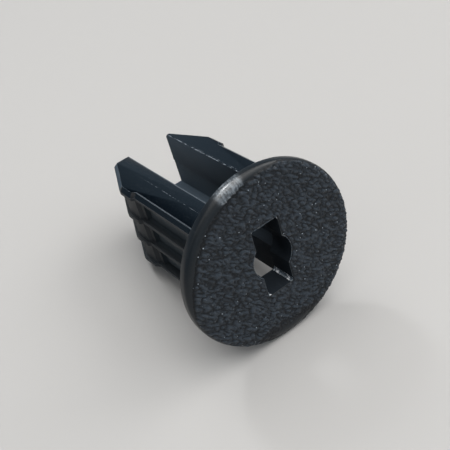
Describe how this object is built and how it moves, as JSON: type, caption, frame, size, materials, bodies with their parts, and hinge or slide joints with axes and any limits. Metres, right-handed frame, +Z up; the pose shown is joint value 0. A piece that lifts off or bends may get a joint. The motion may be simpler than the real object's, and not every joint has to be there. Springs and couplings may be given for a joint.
{
  "type": "bumper clip",
  "caption": "One-piece moulded plastic clip: a round head with a screw hole and slot, and barbed ribbed legs that a screw spreads behind a panel.",
  "frame": {"origin": "centre of the bounding box on the surface that the clip lies on", "axes": "+Z up; +Y along the clip's length, from the head to the tips, which slope down; +X across the two legs"},
  "size_m": [0.02, 0.0256, 0.0197],
  "materials": {
    "black_plastic": "satin"
  },
  "bodies": {
    "root": {"clip_body": "black_plastic"}
  },
  "joints": []
}
